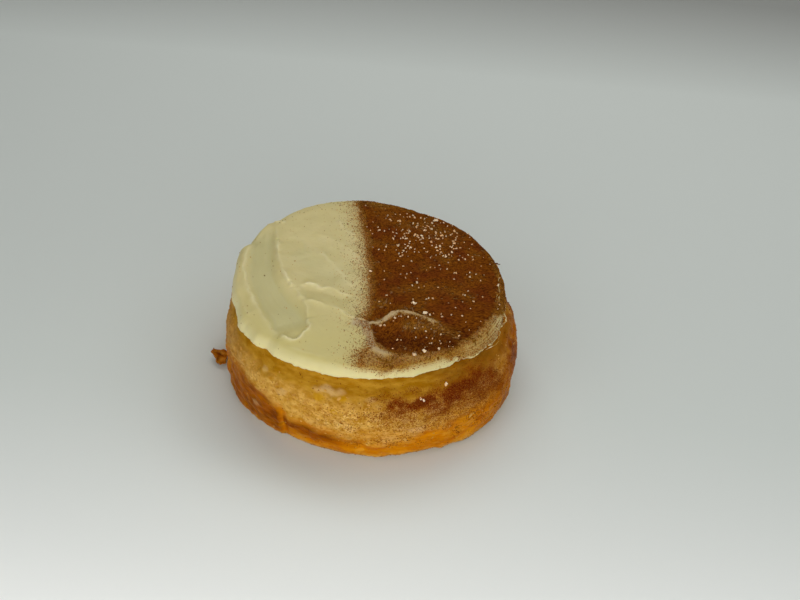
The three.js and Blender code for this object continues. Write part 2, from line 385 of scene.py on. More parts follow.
def sums(tree, operation, first, second):
    node = tree.nodes.new("ShaderNodeMath")
    node.operation = operation
    node.use_clamp = True
    for socket, value in zip(node.inputs, (first, second)):
        if isinstance(value, (int, float)):
            socket.default_value = value
        else:
            tree.links.new(value, socket)
    return node.outputs[0]


def bumps(tree, shader, height, distance, strength):
    node = tree.nodes.new("ShaderNodeBump")
    node.inputs["Distance"].default_value = distance * MM
    node.inputs["Strength"].default_value = strength
    tree.links.new(height, node.inputs["Height"])
    tree.links.new(node.outputs["Normal"], shader.inputs["Normal"])


def patchwork(tree, size, stretch, low, high):
    """A random tone for each small torn patch of this size in mm, as a share between two limits."""
    wavy = tree.nodes.new("ShaderNodeTexNoise")
    wavy.inputs["Scale"].default_value = 1 / (size * MM)
    push = tree.nodes.new("ShaderNodeVectorMath")
    push.operation = "MULTIPLY_ADD"
    push.inputs[1].default_value = (size * MM * 1.6,) * 3
    cells = tree.nodes.new("ShaderNodeTexVoronoi")
    cells.inputs["Scale"].default_value = 1 / (size * MM)
    split = tree.nodes.new("ShaderNodeSeparateColor")
    tree.links.new(place_on(tree), wavy.inputs["Vector"])
    tree.links.new(wavy.outputs["Color"], push.inputs[0])
    tree.links.new(place_on(tree), push.inputs[2])
    tree.links.new(stretched(tree, push.outputs["Vector"], stretch), cells.inputs["Vector"])
    tree.links.new(cells.outputs["Color"], split.inputs["Color"])
    return between(tree, split.outputs["Red"], low, high)


def tinted(tree, colour, share, amount, tint):
    """A colour with a tint laid over it, by an amount of a stored mark or of a share socket."""
    if isinstance(share, str):
        share = stored(tree, share)
    return blend_colours(tree, sums(tree, "MULTIPLY", share, amount), colour, tint)


def dust_of(tree, name, amount, size, low, high):
    """Fine specks that close up as the stored dusting grows."""
    return sums(tree, "SUBTRACT", sums(tree, "MULTIPLY", stored(tree, name), amount),
                speckle(tree, size, low=low, high=high))


def finish(tree, shader, colour, roughness, specular):
    """Gives the shader its colour and how rough and how glossy it is."""
    tree.links.new(colour, shader.inputs["Base Color"])
    shader.inputs["Roughness"].default_value = roughness
    shader.inputs["Specular IOR Level"].default_value = specular


def let_light_in(shader, weight, radius):
    """Light sinks a little way in, red the furthest."""
    shader.inputs["Subsurface Weight"].default_value = weight
    shader.inputs["Subsurface Radius"].default_value = radius
    shader.inputs["Subsurface Scale"].default_value = 1.6 * MM


# Baked crust: tan flakes on the wall, buttery amber on the shoulder, orange to brown at the foot.
crust, tree, shader = paint_box("baked_crust")
layers = (0.3, 0.3, 1.0)
wide_flakes = (0.7, 0.7, 1.0)
long_wrinkles = (0.12, 0.12, 1.0)
tan = blend_colours(tree, speckle(tree, 2.2, wide_flakes), (190, 136, 42), (214, 164, 74))
pale = sums(tree, "MULTIPLY", patchwork(tree, 0.75, (0.8, 0.8, 1.0), 0.55, 1.0), stored(tree, "flake"))
tan = tinted(tree, tan, pale, 0.85, (242, 202, 118))
soft = sums(tree, "MULTIPLY", speckle(tree, 3.6, (0.6, 0.6, 1.0), 0.5, 0.64), stored(tree, "floury"))
tan = tinted(tree, tan, soft, 0.5, (230, 186, 110))
crumbs = sums(tree, "MULTIPLY", speckle(tree, 0.6, wide_flakes, 0.54, 0.62), stored(tree, "floury"))
tan = tinted(tree, tan, crumbs, 0.8, (162, 100, 22))
amber = blend_colours(tree, speckle(tree, 1.3, layers, 0.35, 0.65), (168, 114, 12), (196, 146, 42))
colour = blend_colours(tree, stored(tree, "shoulder"), tan, amber)
rosy = blend_colours(tree, speckle(tree, 1.1, long_wrinkles), (156, 102, 50), (204, 156, 88))
colour = tinted(tree, colour, "wrinkled", 0.45, rosy)
colour = tinted(tree, colour, "buttery", 0.7, (200, 146, 14))
orange = blend_colours(tree, speckle(tree, 2.4, layers, 0.35, 0.65), (190, 104, 0), (216, 138, 8))
orange = tinted(tree, orange, patchwork(tree, 1.5, (0.4, 0.4, 1.0), 0.8, 1.1), 0.7, (226, 162, 50))
colour = blend_colours(tree, stored(tree, "browned"), colour, orange)
bitter = blend_colours(tree, speckle(tree, 1.6, layers), (112, 50, 0), (152, 76, 0))
colour = blend_colours(tree, stored(tree, "deep"), colour, bitter)
colour = tinted(tree, colour, "blanched", 0.48, (232, 196, 138))
colour = tinted(tree, colour, "powdered", 0.6, (140, 72, 14))
dust = dust_of(tree, "powdered", 1.12, 0.36, 0.3, 0.72)
colour = tinted(tree, colour, dust, 1.7, (122, 42, 2))
core = sums(tree, "MULTIPLY", sums(tree, "SUBTRACT", stored(tree, "powdered"), 0.62), 1.7)
colour = blend_colours(tree, sums(tree, "MULTIPLY", core, sums(tree, "ADD", dust, 0.3)), colour, (94, 22, 6))
finish(tree, shader, colour, 0.6, 0.05)
shine = sums(tree, "SUBTRACT", 0.6, sums(tree, "MULTIPLY", stored(tree, "browned"), 0.22))
shine = sums(tree, "ADD", shine, sums(tree, "MULTIPLY", stored(tree, "powdered"), 0.35))
tree.links.new(shine, shader.inputs["Roughness"])
shader.inputs["Specular Tint"].default_value = (1.0, 0.72, 0.25, 1.0)
let_light_in(shader, 0.12, (1.0, 0.45, 0.15))
bumps(tree, shader, speckle(tree, 0.6, (0.6, 0.6, 1.0), 0.3, 0.7), 0.22, 0.5)
roll.data.materials.append(crust)

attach(roll, "root")
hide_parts("pastry_roll")

# ================================================================ torn crust
# Bits of the outer crust tore when the roll left its ring. One stiff flake still stands off the foot at
# the left, and small paper-thin flakes cling all over the wall.

flake_root = (-45.9, -2.9, 1.5)
flake_reach = 6.4
flake_width = 7.6
flake_thickness = 1.1
flake = start_piece("torn_flake", bpy.ops.mesh.primitive_grid_add, x_subdivisions=16, y_subdivisions=14,
                    size=1 * MM, location=(0, 0, 0))
co = points_of(flake)
u, v = co[:, 0] + 0.5, co[:, 1] + 0.5
edge_tear = 0.9 * grain(v * 9 + 5, u * 2, 61) * smooth(0.5, 1.0, u)
side_tear = 0.5 * grain(u * 7 + 5, v * 2, 62) * (2 * v - 1)
reach = u * (flake_reach - 2.2 * v ** 1.4) + edge_tear
across = flake_width * v * (1 - 0.18 * u) + 0.7 * u + side_tear
co[:, 0] = flake_root[0] + 0.7 * v - reach - 0.12 * across
co[:, 1] = flake_root[1] - across
co[:, 2] = flake_root[2] + 1.7 * u ** 1.5 * (1 - v) + 0.5 * u + 0.45 * np.sin(9 * v + 2.5 * u)
co[:, 2] += 0.35 * grain(u * 5 + 3, v * 5, 63)
move_points(flake, co)
rounding = flake.modifiers.new("rounding", "SUBSURF")
rounding.levels = rounding.render_levels = 1
body = flake.modifiers.new("body", "SOLIDIFY")
body.thickness = flake_thickness * MM
body.offset = 0
apply_all(flake)
co = points_of(flake)
co[:, 2] = np.maximum(co[:, 2] + 0.25 * grain(co[:, 0] / 0.8 + 200, co[:, 1] / 0.8 + 200, 64), 0.05)
move_points(flake, co)
mark(flake, "browned", 0.75 + 0.3 * grain(co[:, 0] / 1.2 + 200, co[:, 1] / 1.2 + 200, 65))
mark(flake, "deep", 0.55 + 0.45 * grain(co[:, 0] / 1.5 + 200, co[:, 1] / 1.5 + 200, 66))
bpy.ops.object.shade_smooth_by_angle(angle=math.radians(50))
flake.data.materials.append(crust)
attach(flake, "root")


def two_tone(name, dark, light, roughness, specular):
    """A material for many small copies, each with its own stored tone from dark to light."""
    material, tree, shader = paint_box(name)
    finish(tree, shader, blend_colours(tree, stored(tree, "tone"), dark, light), roughness, specular)
    return material


def one_lump(operator, squash, **settings):
    """The points and faces of one small lump, made from a primitive and squashed."""
    lump = start_piece("lump", operator, **settings)
    bpy.ops.object.mode_set(mode="EDIT")
    bpy.ops.transform.resize(value=squash)
    bpy.ops.object.mode_set(mode="OBJECT")
    shape = points_of(lump)
    faces = [tuple(face.vertices) for face in lump.data.polygons]
    bpy.data.objects.remove(lump)
    return shape, faces


def pick_places(piece, chance, count, seed, lift, order=None):
    """Places on a piece and the way it faces there, drawn more often where the chance is higher."""
    draws = np.random.default_rng(seed)
    jitter = 0.2
    co, normal = points_of(piece), normals_of(piece)
    order = np.arange(len(co)) if order is None else order
    picked = order[draws.choice(len(co), size=count, p=(chance / chance.sum())[order])]
    shift = draws.uniform(-jitter, jitter, (count, 3))
    shift -= normal[picked] * np.sum(shift * normal[picked], axis=1)[:, None]
    return co[picked] + shift + normal[picked] * lift, normal[picked]


def sprinkle(name, lump, places, sizes, seed, faced=None):
    """One mesh of many copies of a lump, turned any way, or laid flat where a facing is given."""
    shape, faces = lump
    draws = np.random.default_rng(seed)
    if faced is None:
        q = draws.normal(size=(len(places), 4))
        w, x, y, z = (q / np.linalg.norm(q, axis=1)[:, None]).T
        turned = np.array([
            [1 - 2 * (y * y + z * z), 2 * (x * y - z * w), 2 * (x * z + y * w)],
            [2 * (x * y + z * w), 1 - 2 * (x * x + z * z), 2 * (y * z - x * w)],
            [2 * (x * z - y * w), 2 * (y * z + x * w), 1 - 2 * (x * x + y * y)]]).transpose(2, 0, 1)
    else:
        up = faced + draws.normal(0, 0.22, faced.shape)
        up /= np.linalg.norm(up, axis=1)[:, None]
        side = np.cross([0.0, 0.0, 1.0], up) + draws.normal(0, 0.45, faced.shape)
        side -= up * np.sum(side * up, axis=1)[:, None]
        side /= np.linalg.norm(side, axis=1)[:, None]
        turned = np.stack([side, np.cross(up, side), up], axis=2)
    copies = np.einsum("nij,kj->nki", turned, shape) * sizes[:, None, None] + places[:, None, :]
    copies[:, :, 2] = np.maximum(copies[:, :, 2], 0.0)
    all_faces = [tuple(k * len(shape) + i for i in face) for k in range(len(places)) for face in faces]
    mesh = bpy.data.meshes.new(name)
    mesh.from_pydata((copies.reshape(-1, 3) * MM).tolist(), [], all_faces)
    piece = bpy.data.objects.new(name, mesh)
    bpy.context.collection.objects.link(piece)
    mark(piece, "tone", np.repeat(draws.uniform(0, 1, len(places)), len(shape)))
    return piece


chip = one_lump(bpy.ops.mesh.primitive_cone_add, (1.0, 0.62, 1.0), vertices=5, radius1=0.5 * MM,
                radius2=0.3 * MM, depth=0.12 * MM)
chip_count = 1100
co, a, degrees, z, out = round_the_roll()
chance = (z > 0.8) * (z < 25.5) * (out > 46) * (0.35 + np.clip(around_wall(a, 40, z / 4, 67), 0, 1))
chance = chance * (1 - 0.6 * smooth(21, 24, z)) * (1 - 0.5 * smooth(8, 5, z))
chance = chance + 0.3 * hump(z - 1.0, 0.8) * (out > 46)
chance = chance * (1 - 0.95 * np.clip(2 * cinnamon_on_wall(degrees, z, a), 0, 1))
chance = chance * (1 - 0.75 * brown)
chance = chance * (1 - 0.85 * smooth(188, 205, degrees) * smooth(240, 238, degrees) * smooth(18, 16, z))
places, faced = pick_places(roll, chance, chip_count, 68, 0.05, roll_order)
sizes = np.random.default_rng(69).gamma(3.0, 0.24, len(places))
chips = sprinkle("wall_flakes", chip, places, sizes, 70, faced)
chips.data.materials.append(two_tone("papery_crust", (186, 126, 32), (216, 164, 74), 0.6, 0.25))
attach(chips, "root")

# ================================================================ the frosting
# Thick cream frosting spread by hand with a knife: a round cap with a soft lip that overhangs the wall.
# Each stroke left a shallow trough with a thin crest beside it, and the edge stops where strokes ended.

frosting_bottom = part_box("frosting_cap")[0].z / MM - 0.6
frosting_x = wall_x - 2.8
frosting_y = wall_y
frosting_radius = 45.6
frosting_cells = 270
lip_height = 32.6

# Edge radius over or under the mean, by angle: swipes run long at the front left and at the front right.
edge_angles = [0, 12, 28, 42, 55, 68, 80, 96, 118, 137, 140, 144, 155, 158, 165, 176, 190, 197, 203, 210,
               214, 218, 226, 231.5, 236, 246, 258, 285, 315, 324, 333, 343, 350]
edge_reach = [1.2, 1.2, 1.0, 0.7, 0.1, -0.8, -0.2, 0.9, 0.9, -0.6, -0.9, 0.5, -0.9, -1.2, 0.2, -1.2, -1.2,
              -0.3, -0.8, 0.4, 1.7, 1.3, 2.1, 0.5, 1.4, 1.2, 0.6, 0.2, -0.1, 1.3, 1.9, 1.9, 1.6]


def edge_of(angle):
    turned = np.degrees(angle) % 360
    small = 0.18 * around_wall(angle, 120, angle * 0, 21) + 0.04 * around_wall(angle, 270, angle * 0, 22)
    return np.interp(turned, edge_angles, edge_reach, period=360) + small


def spread(x, y, size, shift, seed):
    """Hills and hollows of this size in mm over the top; the shift keeps them clear of the middle."""
    return grain(x / size + shift, y / size + shift, seed)


def stroke_line(points, steps=6):
    """A smooth line through a few points, as short straight pieces."""
    p = np.array([points[0]] + list(points) + [points[-1]], float)
    line = []
    for k in range(1, len(p) - 2):
        for t in np.linspace(0, 1, steps, endpoint=False):
            line.append(0.5 * (2 * p[k] + (p[k + 1] - p[k - 1]) * t
                               + (2 * p[k - 1] - 5 * p[k] + 4 * p[k + 1] - p[k + 2]) * t ** 2
                               + (3 * p[k] - p[k - 1] - 3 * p[k + 1] + p[k + 2]) * t ** 3))
    return np.array(line + [p[-1]])


def beside(x, y, points):
    """Distance from a stroke, positive on its left hand, and how far along it, from 0 to 1."""
    line = stroke_line(points)
    best = np.full(x.shape, 1e9)
    side = np.zeros(x.shape)
    along = np.zeros(x.shape)
    for k in range(len(line) - 1):
        px, py = line[k]
        sx, sy = line[k + 1] - line[k]
        t = np.clip(((x - px) * sx + (y - py) * sy) / (sx * sx + sy * sy + 1e-9), 0, 1)
        gap = np.hypot(x - px - t * sx, y - py - t * sy)
        closer = gap < best
        best = np.where(closer, gap, best)
        side = np.where(closer, np.sign(sx * (y - py) - sy * (x - px)), side)
        along = np.where(closer, (k + t) / (len(line) - 1), along)
    return best * side, along


def faded(along, ends):
    """1 along a stroke, and down to 0 over this share of its length at both ends."""
    return smooth(0, ends, along) * smooth(1, 1 - ends, along)


def crest(x, y, points, height, left, right):
    """A thin wavering ridge along a stroke: its height, and how near its very edge each place is."""
    gap, along = beside(x, y, points)
    seed = int(abs(points[0][0] * 7 + points[0][1] * 13))
    gap = gap + 0.45 * spread(x, y, 2.2, 90, seed) + 0.2 * spread(x, y, 0.9, 90, seed + 1)
    fade = faded(along, 0.14)
    uneven = 0.85 + 0.45 * spread(x, y, 4, 90, seed + 2)
    ridge = height * fade * uneven * np.exp(-np.abs(gap) / np.where(gap > 0, left, right))
    return ridge, fade * (0.45 + 0.9 * (uneven - 0.85)) * hump(gap, 0.7)


def trough(x, y, points, depth, width):
    gap, along = beside(x, y, points)
    return -depth * faded(along, 0.2) * hump(gap, width)


def crown(out):
    """Height of the plain spread at a distance from its middle."""
    distances = [0, 19, 28, 36, 41, 43.6, 45.0, 46.0]
    return np.interp(out, distances, [37.5, 37.3, 37.0, 36.6, 36.1, 35.5, 34.8, 34.0])


scooped_path = [(-38.5, 24), (-37.2, 8), (-35.3, -5), (-30.5, -16), (-25, -25), (-21.5, -33)]


def swath(x, y):
    """The long crescent that the last stroke scooped out at the left, from 0 to 1."""
    gap, along = beside(x, y, scooped_path)
    width = np.maximum(abs(gap) - 2.2 - 2.4 * along ** 2, 0)
    return hump(width, 2.2) * smooth(0, 0.12, along) * smooth(0.99, 0.84, along)


# Two crests stand round the hollow that the knife scooped at the front right.
bare_ridge = [(-3, -25.2), (1, -25.3), (5.2, -24), (10.4, -18.6), (19.2, -19.6), (24, -22.5)]
scoop_ridge = [(-0.5, -26), (0.9, -28.6), (2.0, -31.8), (3.3, -35.8), (5.6, -37.9), (10.5, -39.3)]

# Each crest: the places it runs through, its height, its width on the left and right hands, and how
# strong the painted highlight on its thin edge is.
crests = [
    ([(-34.8, 27), (-31.8, 8), (-29.8, 0.5), (-26.5, -7.6), (-20, -17.6), (-18, -26.8)], 1.0, 2.6, 0.6, 1.0),
    ([(-41.2, 15), (-42.3, 7), (-41.5, -4), (-38.9, -12), (-34.2, -22), (-26.8, -34)], 0.8, 0.7, 2.8, 0.7),
    ([(-26.5, -33.8), (-21.3, -35.8), (-17.4, -29.7), (-18.6, -25)], 1.0, 0.6, 2.0, 1.2),
    ([(-22.8, -8.8), (-17.7, -8.0), (-15.3, -9.8), (-12, -9.3), (-9, -11.4), (-4.8, -12.2)],
     0.65, 1.5, 0.4, 1.0),
    ([(-20.5, -17.0), (-12, -18.7), (-4.8, -23.2), (1.4, -24.6)], 0.9, 2.6, 0.5, 0.8),
    (bare_ridge, 1.0, 0.6, 1.6, 0.45),
    (scoop_ridge, 1.0, 1.4, 0.6, 0.6),
    ([(22, -38.2), (31, -30.5), (37.5, -21), (41, -12)], 0.5, 1.2, 2.4, 0.0),
    ([(-9.5, 43.5), (-8.4, 41), (-7, 38.2), (-3.8, 34.7)], 1.2, 0.6, 1.8, 0.3),
    ([(-35.5, 27.5), (-33.4, 27.6), (-31.5, 26.4)], 0.7, 0.5, 0.8, 0.6),
    ([(-19.5, 13), (-13.5, 5), (-9, -2), (-5.5, -8)], 0.5, 3.2, 1.0, 0.5),
    ([(-21, 21), (-12, 17), (-5, 9), (-2.5, 3)], 0.4, 3.0, 1.2, 0.1),
    ([(-29, 19), (-24, 14), (-22, 4), (-24, -3)], 0.3, 2.2, 2.6, 0.0),
    ([(-45, 4), (-44, -8), (-41, -18), (-36, -26)], 0.45, 1.0, 1.6, 0.2),
    ([(-33, -33), (-28, -37), (-20, -40), (-10, -42)], 0.35, 1.0, 2.0, 0.15),
    ([(-13, 30), (-10, 24), (-6, 21)], 0.4, 1.2, 0.8, 0.25),
    ([(8, -3), (20, 0), (34, -5)], 0.3, 3.2, 1.6, 0.0),
]


def knife_marks(x, y):
    """The height of all the strokes on top, in mm in the roll's own place, and the painted highlight along
    their crests.
    """
    out = np.hypot(x - frosting_x, y - frosting_y)
    h = 0.24 * spread(x, y, 13, 40, 23) + 0.1 * spread(x, y, 6, 40, 24)
    h = h + 0.03 * spread(x, y, 2.2, 40, 26) * (1 - swath(x, y))
    gap, along = beside(x, y, scooped_path)
    h = h - 1.0 * swath(x, y) + 0.06 * swath(x, y) * grain(gap / 0.9 + 60, along * 5, 27)
    h = h + trough(x, y, [(-23, -10), (-14, -11.5), (-5, -15)], 0.4, 2.2)
    h = h + trough(x, y, [(-24, 8), (-18, 0), (-10, -4)], 0.35, 4.0)
    h = h + trough(x, y, [(3, -30), (12, -29.5), (22, -29), (31, -25.5), (37, -18)], 0.95, 4.2)
    line = np.zeros(x.shape)
    for points, height, left, right, highlight_strength in crests:
        ridge, edge = crest(x, y, points, height, left, right)
        h = h + ridge
        line = np.maximum(line, edge * highlight_strength)
    for pit_x, pit_y in ((-25.9, -7.6), (-25.0, -10.2), (-32.9, 16.2)):
        h = h - 0.5 * hump(np.hypot(x - pit_x, y - pit_y), 0.55)
    return h * (1 - 0.85 * smooth(42.0, 46.5, out)), line


# The cinnamon was sieved past a straight edge; the right half took it, and it thins toward the front rim.
stencil_y = [-45, -40, -38, -36, -34, -31.5, -27.6, -24, -16, -8, 7, 19, 28, 41]
stencil_x = [0.3, 0.3, 1.0, 3.4, 2.8, 2.0, 0.9, 0.4, 2.0, 1.6, -0.2, -1.7, -3.7, -6.4]


def stencil(y):
    """The straight edge of the dusting, which leans a little."""
    return np.interp(y, stencil_y, stencil_x)


def beside_ridge(y):
    """Where the scoop's left ridge stands along the edge of the dusting and keeps it crisp."""
    return hump(y + 30.5, 4.0)


def bare_crests(x, y):
    """The two crests that stand out of the cinnamon nearly bare, from 0 to 1."""
    wander = 0.3 * spread(x, y, 3, 70, 71) + 0.25 * spread(x, y, 1.1, 70, 73)
    ridge, along = beside(x, y, bare_ridge)
    bare = 1.25 * hump(ridge + wander, 1.1) * (1 - 0.55 * smooth(0.3, 0.85, along)) * smooth(1.0, 0.9, along)
    ridge, along = beside(x, y, scoop_ridge)
    return np.clip(bare + 1.3 * hump(ridge - 0.1 + wander, 1.15) * smooth(1.0, 0.8, along), 0, 1)


# By angle: how far out the thick cinnamon reaches, how far the thin shelf past it does, and how thin it is.
core_angles = [-110, -86, -79, -71, -58, -48, -34, -18, -12]
core_reach = [31, 34, 35.5, 40.1, 41.6, 42.6, 42.6, 44.6, 49]
limit_angles = [-110, -94, -80, -70, -62, -54, -46, -40]
limit_reach = [45.4, 47.0, 48.2, 47.6, 46.8, 47.2, 49.6, 56]
shelf_angles = [-100, -84, -77, -66, -58, -50, -40, -12]
shelf_amounts = [0.42, 0.4, 0.66, 0.54, 0.52, 0.58, 0.44, 0.44]


def dusting(co):
    """How much cinnamon lies at each place on the frosting, from 0 to 1, counting on down over the rim."""
    x, y = co[:, 0], co[:, 1]
    out = np.hypot(x - frosting_x, y - frosting_y)
    down = np.clip(35.0 - co[:, 2], 0, 3.5) * smooth(43.0, 44.2, out)
    out = out + 0.9 * down
    turned = np.degrees(np.arctan2(y - frosting_y, x - frosting_x))
    wander = 0.6 * spread(x + down, y - down, 3, 70, 71)
    wander = wander + 0.5 * spread(x + down, y - down, 1.1, 70, 73)
    low_front = smooth(-35.5, -38.5, y)
    by_ridge = beside_ridge(y)
    bare_to = -2.1 + 1.7 * by_ridge - 3.0 * low_front
    full_from = 1.8 - 1.2 * by_ridge + 2.6 * low_front
    past_edge = smooth(bare_to, full_from, x - stencil(y) + wander)
    core = np.interp(turned, core_angles, core_reach)
    limit = np.interp(turned, limit_angles, limit_reach)
    shelf = np.interp(turned, shelf_angles, shelf_amounts)
    over = out - core + 1.1 * wander
    front = 1 - smooth(-1.2, 1.2, over) * (1 - shelf * smooth(limit, limit - 3.0, out + wander))
    thin, _ = beside(x, y, [(9, -8), (20, -4.5), (33, -6)])
    thin_low, _ = beside(x, y, [(14, -24.5), (24, -23.5), (29, -25)])
    patchy = 0.16 * hump(thin, 3.4) + 0.3 * hump(thin_low, 2.6) + 0.3 * hump(np.hypot(x - 5, y + 14.5), 2.6)
    patchy = patchy + 0.25 * smooth(38, 43, y) + 0.2 * np.clip(spread(x, y, 6, 70, 72), 0, 1)
    right_rim = 0.3 * smooth(42.8, 44.6, out + wander) * smooth(-30, -14, turned) * smooth(45, 12, turned)
    return np.clip(past_edge * front * (1 - patchy) - bare_crests(x, y) - right_rim, 0, 1)


frosting = start_piece("cream_frosting", bpy.ops.mesh.primitive_grid_add, x_subdivisions=frosting_cells,
                       y_subdivisions=frosting_cells, size=2 * MM,
                       location=(frosting_x * MM, frosting_y * MM, lip_height * MM))
bpy.ops.object.transform_apply(location=True)

# The square grid is drawn into a disc, ring by ring, so that its cells stay even.
co = points_of(frosting)
u, v = co[:, 0] - frosting_x, co[:, 1] - frosting_y
wide = np.abs(u) >= np.abs(v)
share = np.where(wide, u, v)
rest = np.where(wide, v, u) / np.where(share == 0, 1, share)
swing = np.where(wide, rest * math.pi / 4, math.pi / 2 - rest * math.pi / 4)
top_edge = frosting_radius - 1.4
co[:, 0] = frosting_x + top_edge * share * np.cos(swing)
co[:, 1] = frosting_y + top_edge * share * np.sin(swing)
move_points(frosting, co)

# The lip is drawn out and down from the disc's border, under itself and in to the flat underside.
lip_reach = [-0.95, -0.55, -0.3, -0.13, -0.02, 0.02, -0.08, -0.4, -1.0, -1.8, -2.8, -4.2]
lip_drop = [0.6, 1.15, 1.7, 2.25, 2.8, 3.3, 3.7, 4.0, 4.25, 4.5, 4.7, 4.85]
bpy.ops.object.mode_set(mode="EDIT")
bpy.ops.mesh.select_all(action="SELECT")
bpy.ops.mesh.region_to_loop()
middle = (frosting_x * MM, frosting_y * MM, 0)
ring = (top_edge, 0.0)
for reach, drop in zip(lip_reach, lip_drop):
    ring = next_ring(frosting_radius + reach, -drop, ring, middle)
bpy.ops.mesh.edge_face_add()
bpy.ops.mesh.select_all(action="SELECT")
bpy.ops.mesh.normals_make_consistent(inside=False)
bpy.ops.object.mode_set(mode="OBJECT")

co = points_of(frosting)
drop = lip_height - co[:, 2]
x0, y0 = co[:, 0] - frosting_x, co[:, 1] - frosting_y
a = np.arctan2(y0, x0)
out = np.hypot(x0, y0)
at_edge = smooth(frosting_radius - 8, frosting_radius - 0.4, out)
jagged = 0.16 * around_wall(a, 84, a * 0, 31) + 0.12 * around_wall(a, 230, a * 0, 28)
jagged += 0.12 * around_wall(a, 430, a * 0, 29)
jagged += 0.35 * around_wall(a, 150, a * 0, 25) * hump(turn(a, math.radians(335)), 0.22)
at_lip = smooth(2.4, 3.4, drop) * smooth(4.8, 4.2, drop)
reach = out + edge_of(a) * at_edge + jagged * at_lip
co[:, 0] = frosting_x + reach * np.cos(a)
co[:, 1] = frosting_y + reach * np.sin(a)
rim_level = crown(np.full(1, top_edge))[0]
upper = 1 - smooth(0.2, 3.6, drop)
back_lift = 0.6 * smooth(15, 42, co[:, 1])
sag = 1.7 * hump(turn(a, math.radians(335)), 0.42) * smooth(frosting_radius - 2.0, frosting_radius - 0.4, out)
marks, crest_highlight = knife_marks(co[:, 0], co[:, 1])
top = crown(np.minimum(out, top_edge)) + marks * upper
co[:, 2] = np.where(drop > 0.01, rim_level - drop + (top - rim_level) * upper, top)
co[:, 2] += back_lift * upper - sag
co[:, 2] += (0.22 * around_wall(a, 100, a * 0, 30) - 0.6 * jagged) * at_lip
co[:, 2] = np.maximum(co[:, 2], frosting_bottom)
move_points(frosting, co)
bpy.ops.object.shade_smooth()

x, y = co[:, 0], co[:, 1]
short_of = np.minimum(x - stencil(y), 0)
drift_left = 0.42 * np.exp(short_of / 2.6) * smooth(-10, -1, short_of) + 0.05 * np.exp(short_of / 6)
bare = bare_crests(x, y)
clean = np.where(x < stencil(y) - 1.0, 0.75 * beside_ridge(y), 0.3 * bare)
drift_left = drift_left * (1 - clean)
amount = np.maximum(dusting(co), drift_left * smooth(46.0, 44.0, np.hypot(x - frosting_x, y - frosting_y)))
mark(frosting, "dusted", np.where(normals_of(frosting)[:, 2] > 0, amount, 0))
gap, along = beside(x, y, [(-27, 12), (-20, 5), (-12, -2), (-6, -6)])
swipe = 0.45 * hump(gap, 5.5) * smooth(0, 0.2, along) * smooth(1, 0.7, along)
# The bare crests take the scraped colour too, as painted shade that darkens them.
mark(frosting, "scraped_and_shaded", np.maximum(np.maximum(0.85 * swath(x, y), swipe), bare))
mark(frosting, "bare", bare * (amount > 0.02))
# Painted highlight along the knife crests and on the front half of the lip, kept in the crest mark.
lip_highlight = 0.42 * smooth(43.0, 45.6, out) * smooth(10, -10, y)
mark(frosting, "crest", np.maximum(crest_highlight * (co[:, 2] > 33) * (1 - 0.6 * amount), lip_highlight))


def along_y(tree, start, end):
    """A share that grows from 0 to 1 between two places along Y, in mm."""
    split = tree.nodes.new("ShaderNodeSeparateXYZ")
    tree.links.new(place_on(tree), split.inputs["Vector"])
    return between(tree, split.outputs["Y"], start * MM, end * MM)


# Cream frosting: pale buttery yellow, a little greener where the knife scraped it thin, and greyer where a
# bare crest came out of the cinnamon, partly cinnamon left on it and partly painted shade.
cream, tree, shader = paint_box("cream")
colour = blend_colours(tree, speckle(tree, 9, low=0.35, high=0.65), (222, 207, 143), (229, 214, 152))
colour = blend_colours(tree, along_y(tree, -6, -34), colour, (213, 199, 127))
# Greener where the frosting is scraped thin; on the bare crests the same colour is painted shade.
colour = tinted(tree, colour, "scraped_and_shaded", 0.9, (205, 197, 139))
# Painted highlight: the crest mark lifts the cream toward a pale cream.
colour = blend_colours(tree, stored(tree, "crest"), colour, (248, 238, 188))
colour = tinted(tree, colour, "dusted", 1.8, (184, 136, 24))
colour = tinted(tree, colour, dust_of(tree, "dusted", 1.1, 0.34, 0.33, 0.68), 2.2, (132, 76, 0))
colour = tinted(tree, colour, "bare", 0.6, (196, 170, 134))
finish(tree, shader, colour, 0.5, 0.35)
let_light_in(shader, 0.25, (1.0, 0.8, 0.4))
bumps(tree, shader, speckle(tree, 1.4, low=0.3, high=0.7), 0.08, 0.5)
frosting.data.materials.append(cream)

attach(frosting, "root")
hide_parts("frosting_cap")

# ================================================================ rim curls
# Where the knife left the rim at the front right it pulled thin threads of frosting that stand up dry.


def thread(name, path, thickness, seed):
    """A thin uneven thread along a path in space, pointed at both ends."""
    piece = start_piece(name, bpy.ops.mesh.primitive_uv_sphere_add, segments=8, ring_count=44,
                        radius=1 * MM, location=(0, 0, 0))
    co = points_of(piece)
    share = np.arccos(np.clip(co[:, 2], -1, 1)) / math.pi
    swing = np.arctan2(co[:, 1], co[:, 0])
    knots = np.array(path, float)
    spots = np.linspace(0, 1, len(knots))
    wiggle = 0.22 * grain(share * 22 + 3, share * 0, seed)
    middle = np.stack([np.interp(share, spots, knots[:, k]) for k in range(3)], axis=1)
    rough = 0.8 + 0.5 * grain(share * 16 + 3, share * 0, seed + 1)
    uneven = thickness * np.sin(math.pi * share) ** 0.4 * rough
    co[:, 0] = middle[:, 0] + uneven * np.cos(swing) + wiggle
    co[:, 1] = middle[:, 1] + 0.5 * uneven * np.cos(swing) + 0.6 * wiggle
    co[:, 2] = middle[:, 2] + 1.1 * uneven * np.sin(swing)
    move_points(piece, co)
    bpy.ops.object.shade_smooth()
    return piece


frosting_points = points_of(frosting)
frosting_points = frosting_points[normals_of(frosting)[:, 2] > 0.1]


def resting(x, y):
    """A place just proud of the frosting's top."""
    nearest = np.argmin(np.hypot(frosting_points[:, 0] - x, frosting_points[:, 1] - y))
    return x, y, frosting_points[nearest, 2] + 0.12


